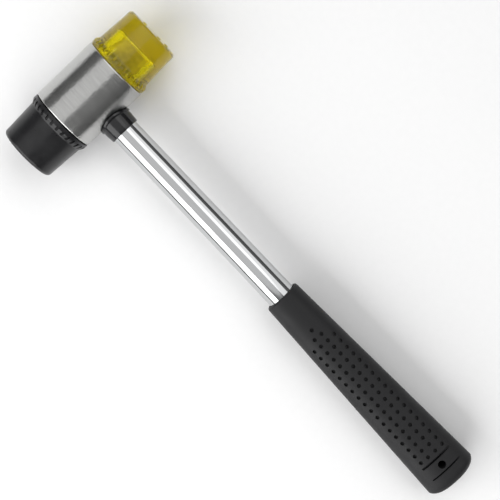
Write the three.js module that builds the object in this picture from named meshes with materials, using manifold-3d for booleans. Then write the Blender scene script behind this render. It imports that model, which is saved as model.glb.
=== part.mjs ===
// Two-way soft-face dead blow mallet, lying on its side on a flat surface.
// Millimetres. +X runs along the handle to the butt, +Y along the head to the amber face, +Z up.
// The origin is on the surface, under the middle of the mallet's length.

import * as THREE from 'three';
import { mergeVertices } from 'three/addons/utils/BufferGeometryUtils.js';
import Module from 'manifold-3d';

const wasm = await Module();
wasm.setup();

// ---- Driving dimensions ----
const GAP = 0.3; // clearance between neighbouring pieces

const HEAD_RADIUS = 17.5;
const SLEEVE_HALF = 18.3; // half the length of the steel sleeve
const SLEEVE_CHAMFER = 0.7;
const CHAMBER_RADIUS = 11.7; // bore that holds the shot canister

const THREAD_PITCH = 2.5; // right-handed
const THREAD_DEPTH = 1.1;
const THREAD_MEAN_RADIUS = 12.2; // of the faces' stems
const THREAD_CLEARANCE = 0.35;
const THREAD_STEPS = 4; // rings of points in one pitch
const THREAD_START = 9.4; // distance of the thread's inner end from the head's middle
const THREAD_END = 15.9;
const NECK_RADIUS = 11.2; // plain part of a stem, under the seal ring
const COUNTERBORE_RADIUS = 14.4;
const COUNTERBORE_DEPTH = 2.8;
const RING_RADIUS = 12.7; // seal ring: middle of its section
const RING_SECTION = 0.9;

const FACE_LENGTH = 24.9; // what stands out of the sleeve
const FACE_FLANGE_RADIUS = 17.4;
const FACE_FLANGE_LENGTH = 2.2;
const FACE_STEP_LENGTH = 3; // the flange runs down to the waist over this length
const FACE_WAIST_RADIUS = 16.1;
const FACE_TIP_RADIUS = 15.2;
const FACE_EDGE_ROUND = 2;
const NOTCH_COUNT = 30;
const NOTCH_SIZE = new THREE.Vector3(1.4, 2.8, 2); // around, along, deep
const NOTCH_OFFSET = 1.6; // from the sleeve to the notch
const NOTCH_FLOOR_RADIUS = 16.2;
const NOTCH_PHASE = 4; // degrees from the top of the head to the middle of the first notch
const AMBER_BORE_RADIUS = 8.7;
const AMBER_BORE_DEPTH = 14.5; // past the sleeve's end
const NUB_RADIUS = 1.2;
const NUB_HEIGHT = 0.6;
const NUB_PLACES = [[-5.3, 7], [4.3, 9], [9.1, 5]]; // x and z on the strike face

const ANCHOR_NECK_RADIUS = 8; // the steel insert's root inside the rubber
const ANCHOR_NECK_LENGTH = 3;
const ANCHOR_RADIUS = 11;
const ANCHOR_LENGTH = 2.5;

const CANISTER_RADIUS = 11.3;
const CANISTER_WALL = 0.6;
const CANISTER_HALF = 9;
const CANISTER_CAP_THICKNESS = 1.2;
const SHOT_RADIUS = 2.5;
const SHOT_SPACING = 5.2;
const SHOT_LAYERS = 2; // along the head
const SHOT_ROWS = [2, 3, 4]; // balls in each row of a layer, from the lowest row up
const SHOT_LOWEST = -7.3; // height of the lowest row from the head's axis

const TUBE_START = 15.9; // distances along the handle are from the head's axis
const TUBE_END = 244;
const TUBE_RADIUS_AT_HEAD = 7.1;
const TUBE_RADIUS_AT_GRIP = 7.5;
const TUBE_WALL = 1.2;
const SPIGOT_RADIUS = 5.5;
const SPIGOT_END = 44;
const SPIGOT_NECK_RADIUS = 4.5;
const SPIGOT_NECK_START = 12;
const PIN_RADIUS = 1.5;
const PIN_PLACE = 21.5;
const PIN_HALF_LENGTH = 6.9;

const FERRULE_END = 25.3;
const FERRULE_RADIUS_AT_HEAD = 8.45;
const FERRULE_RADIUS_AT_END = 7.95;
const FERRULE_ROUND = 0.5;
const SADDLE_RADIUS = 8.9;
const SADDLE_THICKNESS = 1.3;

const GRIP_START = 137.5;
const GRIP_END = 266;
const GRIP_WIDEST = 261.8; // the butt's bevel and dome start here
const GRIP_HALF_WIDTH = [9.5, 14.35]; // at the mouth and at the butt
const GRIP_HALF_THICKNESS = [9.5, 10.6];
const GRIP_ROUNDNESS = 2.35; // exponent of the superellipse section
const GRIP_LIP = 1.2;
const DIMPLE_RADIUS = 1;
const DIMPLE_DEPTH = 1.5;
const DIMPLE_PITCH = 4.55;
const DIMPLE_START = 159;
const DIMPLE_ROWS = 20;
const DIMPLE_COLUMNS = [2.4, 6.9]; // distances of the columns from the middle line, both sides
const DIMPLE_SPREAD = [0.94, 1.06]; // the columns fan out with the grip's taper
const GROOVE_PLACES = [248.8, 256.4];
const GROOVE_LENGTH = 18;
const GROOVE_WIDTHS = [1.2, 0.8];
const GROOVE_DEPTH = 0.9;
const HANG_HOLE_PLACE = 253;
const HANG_HOLE_RADIUS = 2.1;
const PATTERN_SKEW = 0.012; // how far the pattern's middle line strays to +Y, per millimetre past its start

const CUT = 5; // how far a cutter runs past what it cuts
const COARSE = 24; // segments around small turned pieces and threads
const FINE = 48; // segments around the head
const TUBE_SEGMENTS = 32;

// The handle slopes until both the head and the butt touch the surface.
const TILT = Math.asin((HEAD_RADIUS - GRIP_HALF_THICKNESS[1]) / GRIP_WIDEST);

// ---- Finishes ----
function finish(color, roughness, metalness, opacity = 1) {
  const transparent = opacity < 1;
  return new THREE.MeshStandardMaterial({ color, roughness, metalness, opacity, transparent });
}

const satinSteel = finish(0xb4b6b2, 0.32, 1);
const chrome = finish(0xd6d8da, 0.1, 1);
const plainSteel = finish(0x8c8f92, 0.4, 1);
const shotSteel = finish(0x9a9da0, 0.25, 1);
const amberPlastic = finish(0xb49a10, 0.2, 0, 0.6);
const blackRubber = finish(0x1f2122, 0.6, 0);
const blackPlastic = finish(0x18191a, 0.25, 0);
const gripRubber = finish(0x26282a, 0.75, 0);
const sealRubber = finish(0x2b2b2b, 0.7, 0);
const whitePlastic = finish(0xe4e2da, 0.45, 0);

// ---- Solids ----

// A closed three.js geometry as a manifold solid with its faces pointing out.
function solid(geometry) {
  const bare = geometry.clone();
  bare.deleteAttribute('normal');
  bare.deleteAttribute('uv');
  const merged = mergeVertices(bare, 1e-4);
  const points = merged.getAttribute('position').array;
  const corners = [];
  for (let i = 0; i < merged.index.count; i += 3) {
    const [a, b, c] = [0, 1, 2].map((k) => merged.index.getX(i + k));
    if (a !== b && b !== c && c !== a) corners.push(a, b, c);
  }
  const body = fromTriangles(points, corners);
  return body.volume() > 0 ? body : fromTriangles(points, corners.reverse());
}

function fromTriangles(points, corners) {
  return new wasm.Manifold(new wasm.Mesh({
    numProp: 3,
    vertProperties: new Float32Array(points),
    triVerts: new Uint32Array(corners),
  }));
}

// A named mesh of a solid.
function part(name, body, material) {
  const { vertProperties, triVerts } = body.getMesh();
  const geometry = new THREE.BufferGeometry();
  geometry.setAttribute('position', new THREE.BufferAttribute(vertProperties, 3));
  geometry.setIndex(new THREE.BufferAttribute(triVerts, 1));
  geometry.computeVertexNormals();
  const mesh = new THREE.Mesh(geometry, material);
  mesh.name = name;
  return mesh;
}

function joined(bodies) {
  return bodies.reduce((whole, body) => whole.add(body));
}

function cutFrom(body, cutters) {
  return cutters.reduce((rest, cutter) => rest.subtract(cutter), body);
}

// The head's direction is Y: a profile of [radius, y] turned about Y.
function turned(profile, segments = FINE) {
  const points = profile.map(([radius, y]) => new THREE.Vector2(radius, y));
  return solid(new THREE.LatheGeometry(points, segments));
}

// The handle's direction is X: a profile of [radius, x] turned about X.
function turnedAlongHandle(profile, segments = COARSE) {
  const points = profile.map(([radius, x]) => new THREE.Vector2(radius, x));
  return solid(new THREE.LatheGeometry(points, segments).rotateZ(-Math.PI / 2));
}

function disc(radius, start, end) {
  return [[0, start], [radius, start], [radius, end], [0, end]];
}

function ring(inner, outer, start, end) {
  return [[inner, start], [outer, start], [outer, end], [inner, end], [inner, start]];
}

// A rod whose surface is a right-handed screw thread, from start to end along Y.
function threadedRod(meanRadius, start, end) {
  const rows = Math.round((end - start) / THREAD_PITCH * THREAD_STEPS);
  const rod = new THREE.CylinderGeometry(meanRadius, meanRadius, end - start, COARSE, rows);
  rod.translate(0, (start + end) / 2, 0);
  const place = rod.getAttribute('position');
  for (let i = 0; i < place.count; i += 1) {
    const [x, y, z] = [place.getX(i), place.getY(i), place.getZ(i)];
    if (Math.hypot(x, z) > meanRadius / 2) {
      const turns = y / THREAD_PITCH - Math.atan2(x, z) / (2 * Math.PI);
      const wave = THREE.MathUtils.clamp(1.4 * Math.cos(2 * Math.PI * turns), -1, 1);
      const scale = 1 + wave * THREAD_DEPTH / 2 / meanRadius;
      place.setXYZ(i, x * scale, y, z * scale);
    }
  }
  return solid(rod);
}

// A piece built towards +Y, turned round to point towards -Y.
function mirroredEnd(body) {
  return body.rotate([0, 0, 180]);
}

// ---- Head ----

function headSleeve() {
  const edge = HEAD_RADIUS - SLEEVE_CHAMFER;
  const shoulder = SLEEVE_HALF - SLEEVE_CHAMFER;
  const blank = turned([
    [0, -SLEEVE_HALF],
    [edge, -SLEEVE_HALF],
    [HEAD_RADIUS, -shoulder],
    [HEAD_RADIUS, shoulder],
    [edge, SLEEVE_HALF],
    [0, SLEEVE_HALF],
  ]);
  const chamber = turned(disc(CHAMBER_RADIUS, -SLEEVE_HALF, SLEEVE_HALF), COARSE);
  const counterboreFloor = SLEEVE_HALF - COUNTERBORE_DEPTH;
  const nut = threadedRod(THREAD_MEAN_RADIUS + THREAD_CLEARANCE, THREAD_START - GAP, THREAD_END);
  const counterbore = turned(
    disc(COUNTERBORE_RADIUS, counterboreFloor, SLEEVE_HALF + CUT),
    COARSE,
  );
  const socket = joined([
    turnedAlongHandle(disc(SPIGOT_NECK_RADIUS + GAP, 0, HEAD_RADIUS + CUT)),
    turnedAlongHandle(disc(TUBE_RADIUS_AT_HEAD + GAP, TUBE_START - GAP, HEAD_RADIUS + CUT)),
  ]);
  const mouths = [nut, counterbore, mirroredEnd(nut), mirroredEnd(counterbore)];
  return part('head_sleeve', cutFrom(blank, [chamber, ...mouths, socket]), satinSteel);
}

function canister() {
  const wallInside = CANISTER_RADIUS - CANISTER_WALL;
  const capInside = CANISTER_HALF - CANISTER_CAP_THICKNESS;
  const tube = turned(ring(wallInside, CANISTER_RADIUS, -CANISTER_HALF, CANISTER_HALF), COARSE);
  const cap = turned(disc(wallInside - GAP, capInside, CANISTER_HALF), COARSE);
  return [
    part('shot_canister_tube', tube, whitePlastic),
    part('shot_canister_cap_amber_side', cap, whitePlastic),
    part('shot_canister_cap_rubber_side', mirroredEnd(cap), whitePlastic),
  ];
}

// Balls settled in the lower half of the canister, each row nested in the gaps of the one below.
function shot() {
  const ball = solid(new THREE.IcosahedronGeometry(SHOT_RADIUS, 1));
  const rowHeight = SHOT_SPACING * Math.sin(Math.PI / 3);
  const balls = [];
  for (let layer = 0; layer < SHOT_LAYERS; layer += 1) {
    const y = (layer - (SHOT_LAYERS - 1) / 2) * SHOT_SPACING;
    SHOT_ROWS.forEach((count, row) => {
      for (let i = 0; i < count; i += 1) {
        const mesh = part(`shot_ball_${balls.length + 1}`, ball, shotSteel);
        const x = (i - (count - 1) / 2) * SHOT_SPACING;
        mesh.position.set(x, y, SHOT_LOWEST + row * rowHeight);
        balls.push(mesh);
      }
    });
  }
  return balls;
}

// The part of a face that stands out of the sleeve: flange, step, tapered body and rounded edge.
function faceBlank() {
  const seat = SLEEVE_HALF + GAP;
  const end = SLEEVE_HALF + FACE_LENGTH;
  const profile = [[0, seat], [FACE_FLANGE_RADIUS, seat]];
  const steps = 3;
  for (let i = 0; i <= steps; i += 1) {
    const down = (1 - Math.cos(Math.PI * i / steps)) / 2;
    const radius = THREE.MathUtils.lerp(FACE_FLANGE_RADIUS, FACE_WAIST_RADIUS, down);
    profile.push([radius, SLEEVE_HALF + FACE_FLANGE_LENGTH + FACE_STEP_LENGTH * i / steps]);
  }
  for (let i = 0; i <= steps; i += 1) {
    const angle = Math.PI / 2 * i / steps;
    const radius = FACE_TIP_RADIUS - FACE_EDGE_ROUND * (1 - Math.cos(angle));
    profile.push([radius, end - FACE_EDGE_ROUND * (1 - Math.sin(angle))]);
  }
  profile.push([0, end]);
  return cutFrom(turned(profile), notches());
}

// Spanner notches around the flange's step.
function notches() {
  const box = new THREE.BoxGeometry(NOTCH_SIZE.x, NOTCH_SIZE.y, NOTCH_SIZE.z);
  const along = SLEEVE_HALF + NOTCH_OFFSET + NOTCH_SIZE.y / 2;
  const notch = solid(box.translate(0, along, NOTCH_FLOOR_RADIUS + NOTCH_SIZE.z / 2));
  const pitch = 360 / NOTCH_COUNT;
  return Array.from({ length: NOTCH_COUNT }, (_, i) => notch.rotate([0, NOTCH_PHASE + i * pitch, 0]));
}

// The stem's plain neck, up to the given distance from the head's middle, and its thread.
function stem(neckEnd) {
  const inThread = 0.5;
  return joined([
    threadedRod(THREAD_MEAN_RADIUS, THREAD_START, THREAD_END - inThread),
    turned(disc(NECK_RADIUS, THREAD_END - 2 * inThread, neckEnd), COARSE),
  ]);
}

function amberFace() {
  const end = SLEEVE_HALF + FACE_LENGTH;
  const nub = turned(disc(NUB_RADIUS, end - 1, end + NUB_HEIGHT), 8);
  const nubs = NUB_PLACES.map(([x, z]) => nub.translate([x, 0, z]));
  const body = joined([faceBlank(), stem(SLEEVE_HALF + 1), ...nubs]);
  const boreEnd = SLEEVE_HALF + AMBER_BORE_DEPTH;
  const bore = turned([
    [0, THREAD_START - CUT],
    [AMBER_BORE_RADIUS, THREAD_START - CUT],
    [AMBER_BORE_RADIUS, boreEnd - 1],
    [AMBER_BORE_RADIUS - 1, boreEnd],
    [0, boreEnd],
  ], COARSE);
  return part('amber_face', body.subtract(bore), amberPlastic);
}

// The steel insert that the rubber face is moulded around: thread, neck and anchor disc.
function rubberFaceInsert() {
  const anchorStart = SLEEVE_HALF + GAP + ANCHOR_NECK_LENGTH;
  const body = joined([
    stem(SLEEVE_HALF),
    turned(disc(ANCHOR_NECK_RADIUS, SLEEVE_HALF - 1, anchorStart + 1), COARSE),
    turned(disc(ANCHOR_RADIUS, anchorStart, anchorStart + ANCHOR_LENGTH), COARSE),
  ]);
  return part('rubber_face_insert', mirroredEnd(body), plainSteel);
}

function rubberFace() {
  const anchorStart = SLEEVE_HALF + GAP + ANCHOR_NECK_LENGTH;
  const anchorEnd = anchorStart + ANCHOR_LENGTH;
  const recess = joined([
    turned(disc(ANCHOR_NECK_RADIUS + GAP, SLEEVE_HALF - 1, anchorStart + 1), COARSE),
    turned(disc(ANCHOR_RADIUS + GAP, anchorStart - GAP, anchorEnd + GAP), COARSE),
  ]);
  return part('rubber_face', mirroredEnd(faceBlank().subtract(recess)), blackRubber);
}

// Round-section ring around a stem's neck, in the sleeve's counterbore.
function sealRings() {
  const sides = 6;
  const middle = SLEEVE_HALF - COUNTERBORE_DEPTH / 2;
  const profile = Array.from({ length: sides + 1 }, (_, i) => {
    const angle = 2 * Math.PI * (i % sides) / sides;
    const radius = RING_RADIUS + RING_SECTION * Math.cos(angle);
    return [radius, middle + RING_SECTION * Math.sin(angle)];
  });
  const body = turned(profile, COARSE);
  return [
    part('amber_face_seal_ring', body, sealRubber),
    part('rubber_face_seal_ring', mirroredEnd(body), sealRubber),
  ];
}

// ---- Handle ----

function handleTube() {
  const [head, grip] = [TUBE_RADIUS_AT_HEAD, TUBE_RADIUS_AT_GRIP];
  const body = turnedAlongHandle([
    [head - TUBE_WALL, TUBE_START],
    [head, TUBE_START],
    [grip, GRIP_START],
    [grip, TUBE_END],
    [grip - TUBE_WALL, TUBE_END],
    [grip - TUBE_WALL, GRIP_START],
    [head - TUBE_WALL, TUBE_START],
  ], TUBE_SEGMENTS);
  return part('handle_tube', body.subtract(pinRod(PIN_RADIUS + GAP, 2 * PIN_HALF_LENGTH)), chrome);
}

function pinRod(radius, halfLength) {
  return turned(disc(radius, -halfLength, halfLength), 16).translate([PIN_PLACE, 0, 0]);
}

function crossPin() {
  return part('handle_cross_pin', pinRod(PIN_RADIUS, PIN_HALF_LENGTH), plainSteel);
}

// Steel spigot screwed into the sleeve's side, with the tube over it.
function handleSpigot() {
  const body = turnedAlongHandle([
    [0, SPIGOT_NECK_START],
    [SPIGOT_NECK_RADIUS, SPIGOT_NECK_START],
    [SPIGOT_NECK_RADIUS, TUBE_START],
    [SPIGOT_RADIUS, TUBE_START],
    [SPIGOT_RADIUS, SPIGOT_END - 1],
    [SPIGOT_RADIUS - 1, SPIGOT_END],
    [0, SPIGOT_END],
  ]);
  return part('handle_spigot', body.subtract(pinRod(PIN_RADIUS + GAP, HEAD_RADIUS)), plainSteel);
}

// Collar around the tube's root, with a saddle that follows the round of the head.
function ferrule() {
  const barrel = turnedAlongHandle([
    [0, 0],
    [FERRULE_RADIUS_AT_HEAD, 0],
    [FERRULE_RADIUS_AT_HEAD, HEAD_RADIUS],
    [FERRULE_RADIUS_AT_END, FERRULE_END - FERRULE_ROUND],
    [FERRULE_RADIUS_AT_END - FERRULE_ROUND, FERRULE_END],
    [0, FERRULE_END],
  ], TUBE_SEGMENTS);
  const saddleOutside = HEAD_RADIUS + GAP + SADDLE_THICKNESS;
  const saddle = turnedAlongHandle(disc(SADDLE_RADIUS, 0, HEAD_RADIUS + CUT), TUBE_SEGMENTS)
    .intersect(turned(disc(saddleOutside, -HEAD_RADIUS, HEAD_RADIUS)));
  const head = turned(disc(HEAD_RADIUS + GAP, -HEAD_RADIUS, HEAD_RADIUS));
  const boreShape = disc(TUBE_RADIUS_AT_HEAD + GAP, 0, FERRULE_END + CUT);
  const bore = turnedAlongHandle(boreShape, TUBE_SEGMENTS);
  return part('handle_ferrule', cutFrom(barrel.add(saddle), [head, bore]), blackPlastic);
}

// How far along the grip's taper a distance along the handle is, from 0 to 1.
function gripTaper(x) {
  return THREE.MathUtils.clamp((x - GRIP_START) / (GRIP_WIDEST - GRIP_START), 0, 1);
}

// Share of the grip's full section at a distance along the handle: less at the lip and the butt.
function gripFullness(x) {
  const lip = Math.min((x - GRIP_START) / GRIP_LIP, 1);
  const lipShare = 1 - 0.1 * (1 - Math.sqrt(1 - (1 - lip) ** 2));
  const butt = Math.max((x - GRIP_WIDEST) / (GRIP_END - GRIP_WIDEST), 0);
  return lipShare * (1 - butt ** 1.3) ** 0.25;
}

function gripSize(x) {
  const fullness = gripFullness(x);
  const taper = gripTaper(x);
  return {
    width: fullness * THREE.MathUtils.lerp(...GRIP_HALF_WIDTH, taper),
    thickness: fullness * THREE.MathUtils.lerp(...GRIP_HALF_THICKNESS, taper),
  };
}

// Height of the grip's surface over the handle's axis, at x along and y across.
function gripSurface(x, y) {
  const { width, thickness } = gripSize(x);
  return thickness * (1 - Math.abs(y / width) ** GRIP_ROUNDNESS) ** (1 / GRIP_ROUNDNESS);
}

// A rod of unit radius whose rings are moved and stretched to the grip's sections.
function gripBlank() {
  const stations = [0, 0.15, 0.5, 1].map((share) => GRIP_START + share * GRIP_LIP);
  stations.push(GRIP_WIDEST);
  [0.4, 0.7, 0.88, 0.97].forEach((share) => {
    stations.push(THREE.MathUtils.lerp(GRIP_WIDEST, GRIP_END, share));
  });
  const rings = stations.length - 1;
  const rod = new THREE.CylinderGeometry(1, 1, rings, 40, rings);
  const place = rod.getAttribute('position');
  for (let i = 0; i < place.count; i += 1) {
    const x = stations[Math.round(place.getY(i) + rings / 2)];
    const { width, thickness } = gripSize(x);
    const angle = Math.atan2(place.getX(i), place.getZ(i));
    const reach = Math.hypot(place.getX(i), place.getZ(i));
    const round = (value) => Math.sign(value) * Math.abs(value) ** (2 / GRIP_ROUNDNESS);
    const across = reach * width * round(Math.sin(angle));
    const up = reach * thickness * round(Math.cos(angle));
    place.setXYZ(i, x, across, up);
  }
  return solid(rod);
}

// Middle line of the grip's pattern, which runs slightly askew.
function patternMiddle(x) {
  return PATTERN_SKEW * (x - DIMPLE_START);
}

// Where the grip's dimples are, as [x, y]: one, then two, then rows of four.
function dimplePlaces() {
  const [inner, outer] = DIMPLE_COLUMNS;
  const rows = [[0], [-inner, inner]];
  while (rows.length < DIMPLE_ROWS) rows.push([-outer, -inner, inner, outer]);
  return rows.flatMap((columns, row) => {
    const x = DIMPLE_START + row * DIMPLE_PITCH;
    const spread = THREE.MathUtils.lerp(...DIMPLE_SPREAD, gripTaper(x));
    return columns.map((y) => [x, y * spread + patternMiddle(x)]);
  });
}

function gripPocketCutters() {
  const dimple = solid(new THREE.CylinderGeometry(DIMPLE_RADIUS, DIMPLE_RADIUS, 1, 4));
  const cutters = [];
  dimplePlaces().forEach(([x, y]) => {
    const surface = gripSurface(x, y);
    [1, -1].forEach((side) => {
      const middle = side * (surface - DIMPLE_DEPTH + CUT / 2);
      cutters.push(dimple.scale([1, CUT, 1]).rotate([90, 0, 0]).translate([x, y, middle]));
    });
  });
  GROOVE_PLACES.forEach((x, i) => {
    const groove = solid(new THREE.BoxGeometry(GROOVE_WIDTHS[i], GROOVE_LENGTH, CUT));
    const floor = gripSurface(x, GROOVE_LENGTH / 2) - GROOVE_DEPTH;
    [1, -1].forEach((side) => {
      cutters.push(groove.translate([x, patternMiddle(x), side * (floor + CUT / 2)]));
    });
  });
  return cutters;
}

function grip() {
  const socket = turnedAlongHandle([
    [0, GRIP_START - CUT],
    [TUBE_RADIUS_AT_GRIP + GAP, GRIP_START - CUT],
    [TUBE_RADIUS_AT_GRIP + GAP, TUBE_END + GAP],
    [0, TUBE_END + GAP],
  ], TUBE_SEGMENTS);
  const holeShape = new THREE.CylinderGeometry(HANG_HOLE_RADIUS, HANG_HOLE_RADIUS, 40, 16);
  const hole = solid(holeShape.rotateX(Math.PI / 2))
    .translate([HANG_HOLE_PLACE, patternMiddle(HANG_HOLE_PLACE), 0]);
  const body = cutFrom(gripBlank(), [socket, hole, ...gripPocketCutters()]);
  return part('handle_grip', body, gripRubber);
}

// ---- Assembly ----
const mallet = new THREE.Group();
mallet.add(headSleeve(), ...canister(), ...shot());
mallet.add(amberFace(), rubberFace(), rubberFaceInsert(), ...sealRings());
mallet.add(handleSpigot(), crossPin(), handleTube(), ferrule(), grip());
mallet.rotation.y = TILT;
mallet.position.z = HEAD_RADIUS;

const group = new THREE.Group();
group.add(mallet);
group.updateMatrixWorld(true);
const middle = new THREE.Box3().setFromObject(mallet, true).getCenter(new THREE.Vector3());
mallet.position.x = -middle.x;
group.updateMatrixWorld(true);

export default group;
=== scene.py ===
"""Looks of a two-way soft-face dead blow mallet that lies on its side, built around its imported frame.

Shapes are made in the mallet's own millimetres: X along the handle from the head's axis, Y along the head
towards the amber face, Z up. MALLET carries them into the frame's metres.
"""

import math

import bmesh
import bpy
from mathutils import Matrix, Vector


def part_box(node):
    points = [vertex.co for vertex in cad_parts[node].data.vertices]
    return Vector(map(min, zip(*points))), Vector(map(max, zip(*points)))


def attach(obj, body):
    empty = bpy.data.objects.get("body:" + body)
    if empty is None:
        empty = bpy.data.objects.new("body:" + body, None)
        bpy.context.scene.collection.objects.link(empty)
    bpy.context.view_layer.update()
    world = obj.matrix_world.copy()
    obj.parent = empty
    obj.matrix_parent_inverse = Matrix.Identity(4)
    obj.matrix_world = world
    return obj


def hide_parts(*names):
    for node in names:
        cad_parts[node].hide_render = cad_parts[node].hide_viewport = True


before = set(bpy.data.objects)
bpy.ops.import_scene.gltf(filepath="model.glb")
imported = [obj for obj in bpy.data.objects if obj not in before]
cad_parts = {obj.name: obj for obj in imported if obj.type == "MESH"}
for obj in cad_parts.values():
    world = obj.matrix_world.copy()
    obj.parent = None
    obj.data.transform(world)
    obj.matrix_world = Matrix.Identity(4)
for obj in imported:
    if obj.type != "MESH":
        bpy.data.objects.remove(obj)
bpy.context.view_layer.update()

# ---- Driving dimensions, in millimetres ----
MM = 0.001
GAP = 0.3

HEAD_RADIUS = 17.5
SLEEVE_HALF = 18.3
CHAMBER_RADIUS = 11.7
THREAD_PITCH = 2.5
THREAD_DEPTH = 1.1
THREAD_MEAN_RADIUS = 12.2
THREAD_CLEARANCE = 0.35
THREAD_START = 9.4
THREAD_END = 15.4
THREAD_STEPS = 12
NECK_RADIUS = 11.2
COUNTERBORE_RADIUS = 14.4
COUNTERBORE_DEPTH = 2.8
RING_RADIUS = 12.7
RING_SECTION = 0.9

FACE_LENGTH = 24.9
FLANGE_RADIUS = 17.4
FLANGE_LENGTH = 2.2
STEP_LENGTH = 3.0
WAIST_RADIUS = 16.1
TIP_RADIUS = 15.2
EDGE_ROUND = 2.0
NOTCH_COUNT = 30
NOTCH_SIZE = (1.4, 2.8, 2.0)
NOTCH_OFFSET = 1.6
NOTCH_FLOOR_RADIUS = 16.2
NOTCH_PHASE = math.radians(4)
AMBER_BORE_RADIUS = 8.7
AMBER_BORE_DEPTH = 14.5
NUB_RADIUS = 1.15
NUB_HEIGHT = 0.55
NUB_PLACES = ((-5.3, 7.0), (4.3, 9.0), (9.1, 5.0))

ANCHOR_NECK_RADIUS = 8.0
ANCHOR_NECK_LENGTH = 3.0
ANCHOR_RADIUS = 11.0
ANCHOR_LENGTH = 2.5

CANISTER_RADIUS = 11.3
CANISTER_WALL = 0.6
CANISTER_HALF = 9.0
CAP_THICKNESS = 1.2
SHOT_RADIUS = 2.5
SHOT_COUNT = 18

TUBE_START = 15.9
TUBE_END = 244.0
TUBE_RADIUS_AT_HEAD = 7.1
TUBE_RADIUS_AT_GRIP = 7.5
TUBE_WALL = 1.2
SPIGOT_RADIUS = 5.5
SPIGOT_END = 44.0
SPIGOT_NECK_RADIUS = 4.5
SPIGOT_NECK_START = 12.0
PIN_RADIUS = 1.5
PIN_PLACE = 21.5
PIN_HALF_LENGTH = 6.9

FERRULE_END = 25.3
FERRULE_RADIUS_AT_HEAD = 8.45
FERRULE_RADIUS_AT_END = 7.95
SADDLE_RADIUS = 8.9
SADDLE_THICKNESS = 1.3

GRIP_START = 137.5
GRIP_WIDEST = 261.8
GRIP_END = 266.0
GRIP_HALF_WIDTH = (9.5, 14.35)
GRIP_HALF_THICKNESS = (9.5, 10.6)
GRIP_ROUNDNESS = 2.35
GRIP_LIP = 1.2
DIMPLE_RADIUS = 0.95
DIMPLE_FLARE = 0.2
DIMPLE_DEPTH = 1.5
DIMPLE_PITCH = 4.55
DIMPLE_START = 159.0
DIMPLE_ROWS = 20
DIMPLE_COLUMNS = (2.4, 6.9)
DIMPLE_SPREAD = (0.94, 1.06)
GROOVE_PLACES = (248.8, 256.4)
GROOVE_LENGTH = 18.0
GROOVE_WIDTHS = (1.2, 0.8)
GROOVE_DEPTH = 0.9
HANG_HOLE_PLACE = 253.0
HANG_HOLE_RADIUS = 2.1
PATTERN_SKEW = 0.012

ROUND = 192
SMALL_ROUND = 96
SHARP_ANGLE = math.radians(32)
CUT = 5.0

# ---- Where the mallet is in the frame ----
sleeve_low, sleeve_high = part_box("head_sleeve")
HEAD_PLACE = (sleeve_low + sleeve_high) / 2
TILT = math.asin((HEAD_RADIUS - GRIP_HALF_THICKNESS[1]) / GRIP_WIDEST)
MALLET = Matrix.Translation(HEAD_PLACE) @ Matrix.Rotation(TILT, 4, "Y") @ Matrix.Scale(MM, 4)
OTHER_END = Matrix.Rotation(math.pi, 4, "Z")


# ---- Shape helpers ----
def lerp(pair, share):
    return pair[0] + (pair[1] - pair[0]) * share


def clamp(value, low=0.0, high=1.0):
    return max(low, min(high, value))


def filleted(corners, closed=False, steps=6):
    """Corners (radius, along, fillet) as profile points (radius, along, 0), with an arc at each corner."""
    count = len(corners)
    points = []
    for i, (r, t, fillet) in enumerate(corners):
        here = Vector((r, t))
        if fillet <= 0 or (not closed and i in (0, count - 1)):
            points.append((r, t, 0.0))
            continue
        before = Vector(corners[i - 1][:2]) - here
        after = Vector(corners[(i + 1) % count][:2]) - here
        half = before.angle(after) / 2
        reach = min(fillet / math.tan(half), 0.49 * before.length, 0.49 * after.length)
        radius = reach * math.tan(half)
        middle = here + (before.normalized() + after.normalized()).normalized() * radius / math.sin(half)
        start = here + before.normalized() * reach - middle
        turn = start.angle_signed(here + after.normalized() * reach - middle)
        for k in range(steps + 1):
            spoke = start.copy()
            spoke.rotate(Matrix.Rotation(-turn * k / steps, 2))
            points.append((middle.x + spoke.x, middle.y + spoke.y, 0.0))
    return points


def thread_wave(along, angle):
    turns = along / THREAD_PITCH - angle / math.tau
    return clamp(1.4 * math.cos(math.tau * turns), -1.0, 1.0)


def thread_points(mean, start, end):
    """Profile points along a thread from start to end, with its depth faded out at both ends."""
    steps = max(2, round(abs(end - start) / THREAD_PITCH * THREAD_STEPS))
    points = []
    for i in range(steps + 1):
        share = i / steps
        fade = clamp(min(share, 1 - share) * 8)
        points.append((mean, start + (end - start) * share, THREAD_DEPTH / 2 * fade))
    return points


def turned(profile, along="Y", segments=ROUND, closed=False):
    """A mesh of the profile (radius, along, thread depth), turned about the head's or the handle's axis."""
    bm = bmesh.new()
    rings = []
    for radius, place, depth in profile:
        ring = []
        for j in range(1 if radius == 0 else segments):
            angle = math.tau * j / segments
            r = radius + (depth * thread_wave(place, angle) if depth else 0.0)
            side, up = r * math.sin(angle), r * math.cos(angle)
            ring.append(bm.verts.new((side, place, up) if along == "Y" else (place, side, up)))
        rings.append(ring)
    pairs = list(zip(rings, rings[1:] + rings[:1]))
    for a, b in pairs if closed else pairs[:-1]:
        join_rings(bm, a, b)
    return finished(bm)


def join_rings(bm, a, b):
    count = max(len(a), len(b))
    for j in range(count):
        k = (j + 1) % count
        corners = [a[j % len(a)], a[k % len(a)], b[k % len(b)], b[j % len(b)]]
        bm.faces.new(list(dict.fromkeys(corners)))


def finished(bm):
    bmesh.ops.recalc_face_normals(bm, faces=bm.faces)
    mesh = bpy.data.meshes.new("shape")
    bm.to_mesh(mesh)
    bm.free()
    return mesh


def rounded_block(size, bevel, segments=3):
    """A block centred on the origin, with rounded edges."""
    bm = bmesh.new()
    bmesh.ops.create_cube(bm, size=1.0)
    bmesh.ops.scale(bm, vec=size, verts=bm.verts)
    bmesh.ops.bevel(bm, geom=bm.edges[:], offset=bevel, segments=segments, affect="EDGES", profile=0.5)
    return finished(bm)


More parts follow.
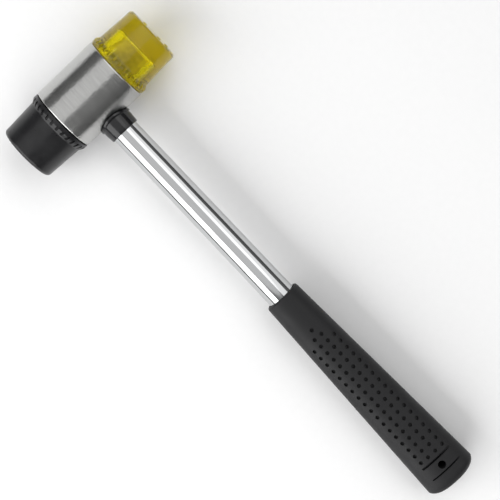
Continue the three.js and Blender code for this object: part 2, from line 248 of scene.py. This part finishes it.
def moved(mesh, matrix):
    copy = mesh.copy()
    copy.transform(matrix)
    if matrix.determinant() < 0:
        copy.flip_normals()
    return copy


def merged(meshes):
    bm = bmesh.new()
    for mesh in meshes:
        bm.from_mesh(mesh)
    return finished(bm)


def boolean(mesh, cutter, operation="DIFFERENCE"):
    """The mesh cut by, or joined with, another closed mesh."""
    body = bpy.data.objects.new("body", mesh)
    tool = bpy.data.objects.new("tool", cutter)
    for o in (body, tool):
        bpy.context.scene.collection.objects.link(o)
    modifier = body.modifiers.new("cut", "BOOLEAN")
    modifier.operation = operation
    modifier.solver = "EXACT"
    modifier.object = tool
    bpy.context.view_layer.update()
    result = bpy.data.meshes.new_from_object(body.evaluated_get(bpy.context.evaluated_depsgraph_get()))
    for o in (body, tool):
        bpy.data.objects.remove(o)
    return result


def piece(name, mesh, material, body, nodes):
    """Puts a mallet-space mesh into the frame as a finished piece that stands for CAD nodes."""
    mesh.name = name
    mesh.transform(MALLET)
    mesh.materials.clear()
    mesh.materials.append(material)
    mesh.polygons.foreach_set("use_smooth", [True] * len(mesh.polygons))
    mesh.set_sharp_from_angle(angle=SHARP_ANGLE)
    obj = bpy.data.objects.new(name, mesh)
    bpy.context.scene.collection.objects.link(obj)
    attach(obj, body)
    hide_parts(*nodes)
    return obj


# ---- Materials ----
class Look:
    """A node material that carries its slot name."""

    def __init__(self, slot, color, roughness, metallic=0.0, **sockets):
        self.material = bpy.data.materials.new(f"{slot}_look")
        self.material["slot"] = slot
        self.material.use_nodes = True
        self.nodes = self.material.node_tree.nodes
        self.shader = self.nodes["Principled BSDF"]
        self.shader.inputs["Base Color"].default_value = (*color, 1)
        self.shader.inputs["Roughness"].default_value = roughness
        self.shader.inputs["Metallic"].default_value = metallic
        for socket, value in sockets.items():
            self.shader.inputs[socket.replace("_", " ")].default_value = value
        self.coords = self.nodes.new("ShaderNodeTexCoord").outputs["Object"]

    def node(self, kind, links=(), **settings):
        made = self.nodes.new("ShaderNode" + kind)
        for key, value in settings.items():
            setattr(made, key, value)
        for socket, value in dict(links).items():
            if isinstance(value, bpy.types.NodeSocket):
                self.link(value, made.inputs[socket])
            else:
                made.inputs[socket].default_value = value
        return made

    def link(self, source, target):
        self.material.node_tree.links.new(source, target)

    def stretched(self, scale):
        """Object coordinates in metres, multiplied by scale on each axis."""
        mapping = self.node("Mapping", {"Vector": self.coords, "Scale": scale})
        return mapping.outputs["Vector"]

    def near_head(self, directions, distance_mm):
        """1 where the surface is nearer to the head's middle than the distance, along the directions."""
        from_head = self.node("VectorMath", {0: self.coords, 1: HEAD_PLACE}, operation="SUBTRACT")
        measured = self.node("VectorMath", {0: from_head.outputs[0], 1: directions}, operation="MULTIPLY")
        distance = self.node("VectorMath", {0: measured.outputs[0]}, operation="LENGTH")
        nearer = self.node("Math", {0: distance.outputs["Value"], 1: distance_mm * MM}, operation="LESS_THAN")
        return nearer.outputs[0]

    def times(self, a, b):
        return self.node("Math", {0: a, 1: b}, operation="MULTIPLY").outputs[0]

    def noise(self, scale, detail=3.0, roughness=0.5):
        """Noise from 0 to 1. Scale is in features per metre on each axis."""
        links = {"Vector": self.stretched(scale), "Scale": 1.0, "Detail": detail, "Roughness": roughness}
        return self.node("TexNoise", links).outputs["Fac"]

    def spread(self, source, low, high):
        """The source from 0.3..0.7 to low..high."""
        links = {"Value": source, "From Min": 0.3, "From Max": 0.7, "To Min": low, "To Max": high}
        return self.node("MapRange", links).outputs["Result"]

    def vary_roughness(self, source, low, high):
        self.link(self.spread(source, low, high), self.shader.inputs["Roughness"])

    def vary_color(self, source, dark, light):
        factor = self.spread(source, 0.0, 1.0)
        mix = self.node("Mix", {0: factor, 6: (*dark, 1), 7: (*light, 1)}, data_type="RGBA")
        self.link(mix.outputs[2], self.shader.inputs["Base Color"])

    def bump(self, source, height_mm, strength=1.0):
        links = {"Height": source, "Distance": height_mm * MM, "Strength": strength}
        if self.shader.inputs["Normal"].links:
            links["Normal"] = self.shader.inputs["Normal"].links[0].from_socket
        self.link(self.node("Bump", links).outputs["Normal"], self.shader.inputs["Normal"])


def satin_steel():
    look = Look("satin_steel", (0.5, 0.5, 0.49), 0.22, 1.0, Anisotropic=0.4, Anisotropic_Rotation=0.25)
    grain = look.noise((80, 2600, 80), 3.0, 0.6)
    look.vary_color(grain, (0.46, 0.46, 0.45), (0.54, 0.54, 0.53))
    smudge = look.noise((90, 160, 90), 3.0, 0.6)
    look.vary_roughness(smudge, 0.19, 0.26)
    look.bump(grain, 0.003)
    look.bump(look.noise((700, 1000, 700), 2.0), 0.09)
    tangent = look.node("Tangent", direction_type="RADIAL", axis="Y")
    look.link(tangent.outputs["Tangent"], look.shader.inputs["Tangent"])
    return look.material


def chrome():
    look = Look("chrome", (0.55, 0.555, 0.56), 0.06, 1.0)
    drawn = look.noise((25, 2500, 2500), 2.0)
    haze = look.noise((40, 220, 220), 3.0)
    look.vary_roughness(haze, 0.04, 0.08)
    look.vary_color(haze, (0.54, 0.545, 0.55), (0.56, 0.565, 0.57))
    look.bump(drawn, 0.0008)
    return look.material


def plain_steel():
    look = Look("plain_steel", (0.42, 0.43, 0.44), 0.35, 1.0)
    turned_lines = look.noise((3000, 3000, 3000), 2.0)
    stain = look.noise((150, 150, 150), 4.0)
    look.vary_color(stain, (0.36, 0.36, 0.36), (0.46, 0.47, 0.48))
    look.vary_roughness(stain, 0.28, 0.42)
    look.bump(turned_lines, 0.004)
    return look.material


def shot_steel():
    look = Look("shot_steel", (0.5, 0.51, 0.52), 0.2, 1.0)
    scuff = look.noise((700, 700, 700), 4.0, 0.6)
    look.vary_roughness(scuff, 0.14, 0.34)
    look.vary_color(scuff, (0.42, 0.42, 0.42), (0.55, 0.56, 0.57))
    look.bump(scuff, 0.01)
    return look.material


def amber_plastic():
    look = Look("amber_plastic", (0.95, 0.86, 0.03), 0.06, 0.0, IOR=1.46, Transmission_Weight=0.9)
    bore_wall = look.times(look.near_head((1, 0, 1), AMBER_BORE_RADIUS + 0.8),
                           look.near_head((0, 1, 0), SLEEVE_HALF + AMBER_BORE_DEPTH - 0.8))
    ripple = look.noise((260, 260, 260), 2.0)
    # The bore wall gets darker olive patches: partly the wall's own mottling, partly painted shade of the
    # hollow bore. The same noise also bumps the wall.
    lumps_and_painted_bore_shade = look.times(look.noise((250, 190, 250), 1.0), bore_wall)
    look.vary_color(lumps_and_painted_bore_shade, (0.95, 0.86, 0.03), (0.55, 0.48, 0.0))
    frosted = look.node("MapRange", {"Value": bore_wall, "To Min": 0.06, "To Max": 0.35})
    look.link(frosted.outputs["Result"], look.shader.inputs["Roughness"])
    look.bump(ripple, 0.05)
    look.bump(lumps_and_painted_bore_shade, 1.0)
    absorption = look.nodes.new("ShaderNodeVolumeAbsorption")
    absorption.inputs["Color"].default_value = (0.97, 0.93, 0.0, 1)
    absorption.inputs["Density"].default_value = 95.0
    output = look.nodes["Material Output"]
    look.link(absorption.outputs["Volume"], output.inputs["Volume"])
    return look.material


def black_rubber():
    look = Look("black_rubber", (0.01, 0.01, 0.011), 0.3, 0.0, Specular_IOR_Level=0.4)
    skin = look.noise((2600, 2600, 2600), 2.0)
    scuff = look.noise((180, 180, 180), 4.0, 0.6)
    look.vary_color(scuff, (0.008, 0.008, 0.009), (0.012, 0.012, 0.013))
    look.vary_roughness(scuff, 0.26, 0.36)
    look.bump(skin, 0.006)
    look.bump(scuff, 0.03)
    return look.material


def black_plastic():
    look = Look("black_plastic", (0.008, 0.008, 0.009), 0.14, 0.0, Specular_IOR_Level=0.45)
    flow = look.noise((300, 300, 300), 3.0)
    look.vary_roughness(flow, 0.11, 0.18)
    look.vary_color(flow, (0.007, 0.007, 0.008), (0.009, 0.009, 0.01))
    look.bump(flow, 0.012)
    return look.material


def grip_rubber():
    look = Look("grip_rubber", (0.01, 0.01, 0.011), 0.6, 0.0, Specular_IOR_Level=0.35)
    skin = look.noise((1800, 1800, 1800), 3.0, 0.6)
    patch = look.noise((60, 90, 90), 4.0, 0.6)
    look.vary_color(patch, (0.008, 0.008, 0.009), (0.012, 0.012, 0.013))
    look.vary_roughness(patch, 0.52, 0.68)
    look.bump(skin, 0.03)
    return look.material


def seal_rubber():
    look = Look("seal_rubber", (0.02, 0.02, 0.02), 0.5, 0.0)
    skin = look.noise((1500, 1500, 1500), 2.0)
    look.vary_color(skin, (0.016, 0.016, 0.016), (0.026, 0.026, 0.026))
    look.vary_roughness(skin, 0.42, 0.58)
    look.bump(skin, 0.01)
    return look.material


def white_plastic():
    look = Look("white_plastic", (0.7, 0.69, 0.64), 0.4, 0.0)
    flow = look.noise((200, 200, 200), 3.0)
    look.vary_color(flow, (0.66, 0.65, 0.6), (0.74, 0.73, 0.69))
    look.vary_roughness(flow, 0.34, 0.46)
    look.bump(flow, 0.02)
    return look.material


# ---- Head ----
def head_sleeve(material):
    nut = THREAD_MEAN_RADIUS + THREAD_CLEARANCE
    floor = SLEEVE_HALF - COUNTERBORE_DEPTH
    reach = THREAD_START - GAP

    def outside(y):
        return (HEAD_RADIUS, y, 0.0)

    edge = filleted([(HEAD_RADIUS, 0, 0), (HEAD_RADIUS, SLEEVE_HALF, 0.9),
                     (COUNTERBORE_RADIUS, SLEEVE_HALF, 0.2), (COUNTERBORE_RADIUS, floor, 0.2),
                     (nut, floor, 0.0)])[1:]
    inner = [*thread_points(nut, floor - GAP, reach), (CHAMBER_RADIUS, reach - 0.4, 0.0)]
    right = [*edge, *inner]
    left = [(r, -y, depth) for r, y, depth in reversed(right)]
    rows = 16
    belt = [outside(lerp((-SADDLE_RADIUS, SADDLE_RADIUS), i / rows)) for i in range(rows + 1)]
    mesh = turned([*belt, *right, *left], closed=True)
    spot = turned(filleted([(0, TUBE_START - GAP, 0), (TUBE_RADIUS_AT_HEAD + GAP, TUBE_START - GAP, 0),
                            (TUBE_RADIUS_AT_HEAD + GAP, HEAD_RADIUS + CUT, 0), (0, HEAD_RADIUS + CUT, 0)]),
                  "X", SMALL_ROUND)
    hole = turned([(0, 5.0, 0), (SPIGOT_NECK_RADIUS + GAP, 5.0, 0),
                   (SPIGOT_NECK_RADIUS + GAP, HEAD_RADIUS, 0), (0, HEAD_RADIUS, 0)], "X", SMALL_ROUND)
    mesh = boolean(boolean(mesh, spot), hole)
    piece("sleeve", mesh, material, "head_and_handle", ["head_sleeve"])


def face_outside():
    """Profile of what stands out of the sleeve, from the flange's seat to the middle of the strike face."""
    seat = SLEEVE_HALF + GAP
    end = SLEEVE_HALF + FACE_LENGTH
    points = filleted([(NECK_RADIUS, seat, 0), (FLANGE_RADIUS, seat, 0.35), (FLANGE_RADIUS, end, 0)])[1:-1]
    steps = 14
    for i in range(steps + 1):
        down = (1 - math.cos(math.pi * i / steps)) / 2
        radius = lerp((FLANGE_RADIUS, WAIST_RADIUS), down)
        points.append((radius, SLEEVE_HALF + FLANGE_LENGTH + STEP_LENGTH * i / steps, 0.0))
    waist = SLEEVE_HALF + FLANGE_LENGTH + STEP_LENGTH
    rows = 8
    for i in range(1, rows):
        share = i / rows
        points.append((lerp((WAIST_RADIUS, TIP_RADIUS), share), lerp((waist, end - EDGE_ROUND), share), 0.0))
    points += filleted([(WAIST_RADIUS, waist, 0), (TIP_RADIUS, end, EDGE_ROUND), (0, end, 0)], steps=10)[1:-1]
    points += [(TIP_RADIUS * share, end, 0.0) for share in (0.6, 0.3)]
    return [*points, (0, end, 0.0)]


def notch_cutters():
    block = rounded_block(NOTCH_SIZE, 0.25)
    along = SLEEVE_HALF + NOTCH_OFFSET + NOTCH_SIZE[1] / 2
    out = Matrix.Translation((0, along, NOTCH_FLOOR_RADIUS + NOTCH_SIZE[2] / 2))
    pitch = math.tau / NOTCH_COUNT
    turns = [Matrix.Rotation(NOTCH_PHASE + i * pitch, 4, "Y") for i in range(NOTCH_COUNT)]
    return merged([moved(block, turn @ out) for turn in turns])


def stem_profile():
    """Profile of a stem from the edge of its inner end to its neck."""
    first = [(THREAD_MEAN_RADIUS - THREAD_DEPTH, THREAD_START, 0.0)]
    thread = thread_points(THREAD_MEAN_RADIUS, THREAD_START + 0.4, THREAD_END)
    return [*first, *thread, (NECK_RADIUS, THREAD_END + 0.5, 0.0)]


def amber_face(material):
    end = SLEEVE_HALF + FACE_LENGTH
    bore_end = SLEEVE_HALF + AMBER_BORE_DEPTH
    bore = filleted([(0, bore_end, 0), (AMBER_BORE_RADIUS, bore_end, 1.6),
                     (AMBER_BORE_RADIUS, THREAD_START, 0.4),
                     (THREAD_MEAN_RADIUS - THREAD_DEPTH, THREAD_START, 0)])[:-1]
    neck = [(NECK_RADIUS, SLEEVE_HALF + GAP, 0.0)]
    mesh = turned([*bore, *stem_profile(), *neck, *face_outside()])
    mesh = boolean(mesh, notch_cutters())
    nub = turned(filleted([(0, end - 1, 0), (NUB_RADIUS, end - 1, 0), (NUB_RADIUS, end + NUB_HEIGHT, 0.4),
                           (0, end + NUB_HEIGHT, 0)]), segments=24)
    nubs = merged([moved(nub, Matrix.Translation((x, 0, z))) for x, z in NUB_PLACES])
    mesh = boolean(mesh, nubs, "UNION")
    piece("amber_cap", mesh, material, "amber_face_screw", ["amber_face"])


def rubber_face(material):
    seat = SLEEVE_HALF + GAP
    start = seat + ANCHOR_NECK_LENGTH
    stop = start + ANCHOR_LENGTH
    disc, neck = ANCHOR_RADIUS + GAP, ANCHOR_NECK_RADIUS + GAP
    recess = [(0, stop + GAP, 0.0), (disc, stop + GAP, 0.0), (disc, start - GAP, 0.0),
              (neck, start - GAP, 0.0), (neck, seat, 0.0)]
    mesh = boolean(turned([*recess, *face_outside()]), notch_cutters())
    piece("rubber_cap", moved(mesh, OTHER_END), material, "rubber_face_screw", ["rubber_face"])


def rubber_face_insert(material):
    start = SLEEVE_HALF + GAP + ANCHOR_NECK_LENGTH
    stop = start + ANCHOR_LENGTH
    anchor = filleted([(NECK_RADIUS, SLEEVE_HALF, 0), (ANCHOR_NECK_RADIUS, SLEEVE_HALF, 0.2),
                       (ANCHOR_NECK_RADIUS, start, 0.3), (ANCHOR_RADIUS, start, 0.4),
                       (ANCHOR_RADIUS, stop, 0.4), (0, stop, 0)])
    mesh = turned([(0, THREAD_START, 0.0), *stem_profile(), *anchor])
    piece("rubber_cap_insert", moved(mesh, OTHER_END), material, "rubber_face_screw", ["rubber_face_insert"])


def seal_rings(material):
    middle = SLEEVE_HALF - COUNTERBORE_DEPTH / 2
    sides = 24
    profile = []
    for i in range(sides):
        angle = math.tau * i / sides
        out, along = RING_SECTION * math.cos(angle), RING_SECTION * math.sin(angle)
        profile.append((RING_RADIUS + out, middle + along, 0.0))
    for side, turn in (("amber", Matrix.Identity(4)), ("rubber", OTHER_END)):
        mesh = moved(turned(profile, segments=SMALL_ROUND, closed=True), turn)
        piece(f"{side}_side_seal", mesh, material, f"{side}_face_carrier", [f"{side}_face_seal_ring"])


def canister(material):
    inside = CANISTER_RADIUS - CANISTER_WALL
    wall = filleted([(inside, -CANISTER_HALF, 0.15), (CANISTER_RADIUS, -CANISTER_HALF, 0.25),
                     (CANISTER_RADIUS, CANISTER_HALF, 0.25), (inside, CANISTER_HALF, 0.15)], closed=True)
    mesh = turned(wall, segments=SMALL_ROUND, closed=True)
    piece("canister_tube", mesh, material, "head_and_handle", ["shot_canister_tube"])
    start = CANISTER_HALF - CAP_THICKNESS
    dish = 0.4
    cap = filleted([(0, start, 0), (inside - GAP, start, 0.2), (inside - GAP, CANISTER_HALF, 0.25),
                    (inside - GAP - 1.5, CANISTER_HALF, 0.2), (inside - GAP - 1.9, CANISTER_HALF - dish, 0.2),
                    (0, CANISTER_HALF - dish, 0)])
    for side, turn in (("amber", Matrix.Identity(4)), ("rubber", OTHER_END)):
        mesh = moved(turned(cap, segments=SMALL_ROUND), turn)
        piece(f"canister_cap_{side}", mesh, material, "head_and_handle", [f"shot_canister_cap_{side}_side"])


def shot(material):
    """Balls of the charge, each where its CAD node is."""
    to_mallet = MALLET.inverted()
    for i in range(1, SHOT_COUNT + 1):
        low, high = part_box(f"shot_ball_{i}")
        bm = bmesh.new()
        bmesh.ops.create_icosphere(bm, subdivisions=4, radius=SHOT_RADIUS)
        bmesh.ops.translate(bm, vec=to_mallet @ ((low + high) / 2), verts=bm.verts)
        piece(f"ball_{i}", finished(bm), material, "shot_charge", [f"shot_ball_{i}"])


# ---- Handle ----
def pin_rod(radius, half_length, fillet=0.0):
    rod = filleted([(0, -half_length, 0), (radius, -half_length, fillet), (radius, half_length, fillet),
                    (0, half_length, 0)])
    return moved(turned(rod, segments=48), Matrix.Translation((PIN_PLACE, 0, 0)))


def handle_tube(material):
    head, grip = TUBE_RADIUS_AT_HEAD, TUBE_RADIUS_AT_GRIP
    outside = filleted([(head - TUBE_WALL, TUBE_START, 0), (head, TUBE_START, 0.2), (head, PIN_PLACE, 0)])
    rows = 24
    shares = [i / rows for i in range(rows + 1)]
    taper = [(lerp((head, grip), share), lerp((PIN_PLACE + 3, GRIP_START), share), 0.0) for share in shares]
    end = filleted([(grip, GRIP_START, 0), (grip, TUBE_END, 0.2), (grip - TUBE_WALL, TUBE_END, 0.2),
                    (grip - TUBE_WALL, GRIP_START, 0)])[1:]
    mesh = turned([*outside[1:-1], *taper, *end, (head - TUBE_WALL, TUBE_START, 0.0)], "X", closed=True)
    mesh = boolean(mesh, pin_rod(PIN_RADIUS + GAP, 2 * PIN_HALF_LENGTH))
    piece("tube", mesh, material, "head_and_handle", ["handle_tube"])


def handle_spigot(material):
    profile = filleted([(0, SPIGOT_NECK_START, 0), (SPIGOT_NECK_RADIUS, SPIGOT_NECK_START, 0.3),
                        (SPIGOT_NECK_RADIUS, TUBE_START, 0.2), (SPIGOT_RADIUS, TUBE_START, 0.3),
                        (SPIGOT_RADIUS, SPIGOT_END, 1.0), (0, SPIGOT_END, 0)])
    mesh = boolean(turned(profile, "X", SMALL_ROUND), pin_rod(PIN_RADIUS + GAP, HEAD_RADIUS))
    piece("spigot", mesh, material, "head_and_handle", ["handle_spigot"])
    pin = pin_rod(PIN_RADIUS, PIN_HALF_LENGTH, 0.3)
    piece("cross_pin", pin, material, "head_and_handle", ["handle_cross_pin"])


def ferrule(material):
    """Collar whose saddle follows the head: each saddle point is given by its height off the head."""
    inside = TUBE_RADIUS_AT_HEAD + GAP
    saddle_top = GAP + SADDLE_THICKNESS
    saddle = filleted([(inside, GAP, 0), (SADDLE_RADIUS, GAP, 0.2), (SADDLE_RADIUS, saddle_top, 0.55),
                       (FERRULE_RADIUS_AT_HEAD - 0.25, saddle_top, 0.3),
                       (FERRULE_RADIUS_AT_HEAD - 0.3, 4.0, 0)], steps=8)[:-1]
    barrel_start = HEAD_RADIUS + 2.6
    barrel = filleted([(FERRULE_RADIUS_AT_HEAD - 0.1, barrel_start, 0),
                       (FERRULE_RADIUS_AT_END, FERRULE_END, 0.6),
                       (inside, FERRULE_END, 0.25), (inside, barrel_start, 0)], steps=8)
    bm = bmesh.new()
    rings = []
    for radius, place, on_head in [*[(r, t, 1) for r, t, _ in saddle], *[(r, t, 0) for r, t, _ in barrel]]:
        ring = []
        for j in range(ROUND):
            angle = math.tau * j / ROUND
            side, up = radius * math.sin(angle), radius * math.cos(angle)
            surface = math.sqrt(HEAD_RADIUS**2 - up**2) if on_head else 0.0
            ring.append(bm.verts.new((surface + place, side, up)))
        rings.append(ring)
    for a, b in zip(rings, rings[1:] + rings[:1]):
        join_rings(bm, a, b)
    piece("ferrule", finished(bm), material, "head_and_handle", ["handle_ferrule"])


def grip_size(x):
    """Half width and half thickness of the grip at a distance along the handle."""
    taper = clamp((x - GRIP_START) / (GRIP_WIDEST - GRIP_START))
    lip = clamp((x - GRIP_START) / GRIP_LIP)
    lip_share = 1 - 0.1 * (1 - math.sqrt(1 - (1 - lip) ** 2))
    butt = clamp((x - GRIP_WIDEST) / (GRIP_END - GRIP_WIDEST))
    fullness = lip_share * (1 - butt**1.3) ** 0.25
    return fullness * lerp(GRIP_HALF_WIDTH, taper), fullness * lerp(GRIP_HALF_THICKNESS, taper)


def grip_surface(x, y):
    width, thickness = grip_size(x)
    return thickness * (1 - abs(y / width) ** GRIP_ROUNDNESS) ** (1 / GRIP_ROUNDNESS)


def grip_blank():
    stations = [GRIP_START + GRIP_LIP * (1 - math.cos(math.pi / 2 * i / 8)) for i in range(9)]
    rows = 62
    stations += [lerp((stations[-1], GRIP_WIDEST), i / rows) for i in range(1, rows + 1)]
    butt_rows = 24
    for i in range(1, butt_rows):
        fullness = 1 - i / butt_rows
        stations.append(lerp((GRIP_WIDEST, GRIP_END), (1 - fullness**4) ** (1 / 1.3)))
    bm = bmesh.new()
    rings = [[bm.verts.new((GRIP_START, 0, 0))]]
    segments = 144
    power = 2 / GRIP_ROUNDNESS
    for x in stations:
        width, thickness = grip_size(x)
        ring = []
        for j in range(segments):
            across, up = math.sin(math.tau * j / segments), math.cos(math.tau * j / segments)
            ring.append(bm.verts.new((x, width * math.copysign(abs(across) ** power, across),
                                      thickness * math.copysign(abs(up) ** power, up))))
        rings.append(ring)
    rings.append([bm.verts.new((GRIP_END, 0, 0))])
    for a, b in zip(rings, rings[1:]):
        join_rings(bm, a, b)
    return finished(bm)


def pattern_middle(x):
    """The middle line of the grip's pattern, which runs slightly askew."""
    return PATTERN_SKEW * (x - DIMPLE_START)


def dimple_places():
    inner, outer = DIMPLE_COLUMNS
    for row in range(DIMPLE_ROWS):
        x = DIMPLE_START + row * DIMPLE_PITCH
        columns = {0: (0.0,), 1: (-inner, inner)}.get(row, (-outer, -inner, inner, outer))
        taper = clamp((x - GRIP_START) / (GRIP_WIDEST - GRIP_START))
        for y in columns:
            yield x, y * lerp(DIMPLE_SPREAD, taper) + pattern_middle(x)


def grip_cutters():
    """Everything that is cut out of the grip's outside: flared dimples, the cross grooves, on both sides."""
    flare = DIMPLE_RADIUS + DIMPLE_FLARE
    dimple = turned([(0, -DIMPLE_DEPTH, 0), (DIMPLE_RADIUS, -DIMPLE_DEPTH, 0),
                     (DIMPLE_RADIUS, -DIMPLE_FLARE, 0), (flare, 0.06, 0), (flare, 2.0, 0), (0, 2.0, 0)],
                    segments=20)
    stand = Matrix.Rotation(math.pi / 2, 4, "X")
    cutters = []
    for side in (1, -1):
        flip = Matrix.Diagonal((1, 1, side, 1))
        for x, y in dimple_places():
            step = 0.05
            slope = (grip_surface(x, y + step) - grip_surface(x, y - step)) / (2 * step)
            lean = Matrix.Rotation(0.6 * math.atan(slope), 4, "X")
            place = Matrix.Translation((x, y, grip_surface(x, y)))
            cutters.append(moved(dimple, flip @ place @ lean @ stand))
        for x, width in zip(GROOVE_PLACES, GROOVE_WIDTHS):
            groove = rounded_block((width, GROOVE_LENGTH, 4.0), 0.3)
            middle = grip_surface(x, GROOVE_LENGTH / 2) - GROOVE_DEPTH + 2.0
            cutters.append(moved(groove, flip @ Matrix.Translation((x, pattern_middle(x), middle))))
    return merged(cutters)


def handle_grip(material):
    bore = TUBE_RADIUS_AT_GRIP + GAP
    socket = turned([(0, GRIP_START - CUT, 0), (bore + CUT, GRIP_START - CUT, 0), (bore, GRIP_START + 0.3, 0),
                     (bore, TUBE_END + GAP, 0), (0, TUBE_END + GAP, 0)], "X")
    rim, deep = HANG_HOLE_RADIUS, 30.0
    hole = turned([(0, -deep, 0), (rim, -deep, 0), (rim, deep, 0), (0, deep, 0)], segments=48)
    place = Matrix.Translation((HANG_HOLE_PLACE, pattern_middle(HANG_HOLE_PLACE), 0))
    hole = moved(hole, place @ Matrix.Rotation(math.pi / 2, 4, "X"))
    mesh = boolean(boolean(boolean(grip_blank(), socket), hole), grip_cutters())
    piece("grip", mesh, material, "head_and_handle", ["handle_grip"])


# ---- Studio ----
def studio_floor():
    bm = bmesh.new()
    bmesh.ops.create_circle(bm, cap_ends=True, radius=4.0, segments=96)
    mesh = finished(bm)
    floor = bpy.data.objects.new("floor", mesh)
    bpy.context.scene.collection.objects.link(floor)
    look = Look("floor_paper", (0.9, 0.9, 0.9), 0.9)
    fibre = look.noise((300, 300, 300), 2.0)
    look.vary_color(fibre, (0.895, 0.895, 0.895), (0.905, 0.905, 0.905))
    mesh.materials.append(look.material)


# The room is one plain dim grey, brighter overhead than low down.
ROOM_LOW = 0.1
ROOM_HIGH = 0.25
# Soft boxes: name, place in metres, width and height in metres, and brightness. Each one faces the mallet,
# and every piece is lit by it and mirrors it.
SOFT_BOXES = (
    ("window_box", (0.0, -1.0, 0.65), (2.4, 0.9), 3.0),
    ("fill_box", (0.0, 0.8, 1.0), (2.2, 1.0), 1.1),
    ("overhead_box", (-0.5, 0.0, 1.3), (2.4, 1.6), 0.6),
)


def studio_world():
    """The plain room around the mallet."""
    world = bpy.data.worlds.new("studio")
    bpy.context.scene.world = world
    world.use_nodes = True
    nodes, links = world.node_tree.nodes, world.node_tree.links
    direction = nodes.new("ShaderNodeTexCoord")
    split = nodes.new("ShaderNodeSeparateXYZ")
    links.new(direction.outputs["Generated"], split.inputs[0])
    upward = nodes.new("ShaderNodeMapRange")
    upward.inputs["To Min"].default_value = ROOM_LOW
    upward.inputs["To Max"].default_value = ROOM_HIGH
    links.new(split.outputs["Z"], upward.inputs["Value"])
    links.new(upward.outputs["Result"], nodes["Background"].inputs["Color"])


def soft_box(name, place, size, brightness):
    """A rectangular light that faces the mallet."""
    width, height = size
    data = bpy.data.lights.new(name, "AREA")
    data.shape = "RECTANGLE"
    data.size = width
    data.size_y = height
    data.energy = brightness * math.pi * width * height
    light = bpy.data.objects.new(name, data)
    bpy.context.scene.collection.objects.link(light)
    light.location = place
    light.rotation_euler = (-Vector(place)).to_track_quat("-Z", "Y").to_euler()
    light.visible_camera = False


# The camera looks down on the mallet. Its place and target are in the mallet's millimetres, and the picture's
# upward direction is turned from the handle's by CAMERA_ROLL.
CAMERA_PLACE = Vector((49.1, 62.6, 684.4))
CAMERA_TARGET = Vector((109.94, 4.34, 0.0))
CAMERA_ROLL = math.radians(136.75)
CAMERA_LENS = 100.04


def camera():
    data = bpy.data.cameras.new("camera")
    data.lens = CAMERA_LENS
    data.sensor_width = 36.0
    data.clip_start = 0.05
    cam = bpy.data.objects.new("camera", data)
    bpy.context.scene.collection.objects.link(cam)
    back = (CAMERA_PLACE - CAMERA_TARGET).normalized()
    right = Vector((math.cos(CAMERA_ROLL), math.sin(CAMERA_ROLL), 0.0)).cross(back).normalized()
    up = back.cross(right)
    turn = Matrix((right, up, back)).transposed().to_4x4()
    tilt = Matrix.Rotation(TILT, 4, "Y")
    cam.matrix_world = Matrix.Translation(MALLET @ CAMERA_PLACE) @ tilt @ turn
    bpy.context.scene.camera = cam


def build():
    steel = plain_steel()
    rubber_seal = seal_rubber()
    camera()
    head_sleeve(satin_steel())
    amber_face(amber_plastic())
    rubber_face(black_rubber())
    rubber_face_insert(steel)
    seal_rings(rubber_seal)
    canister(white_plastic())
    shot(shot_steel())
    handle_tube(chrome())
    handle_spigot(steel)
    ferrule(black_plastic())
    handle_grip(grip_rubber())
    studio_floor()
    studio_world()
    for box in SOFT_BOXES:
        soft_box(*box)
    bpy.context.scene.view_settings.view_transform = "Standard"
    bpy.context.view_layer.update()


build()
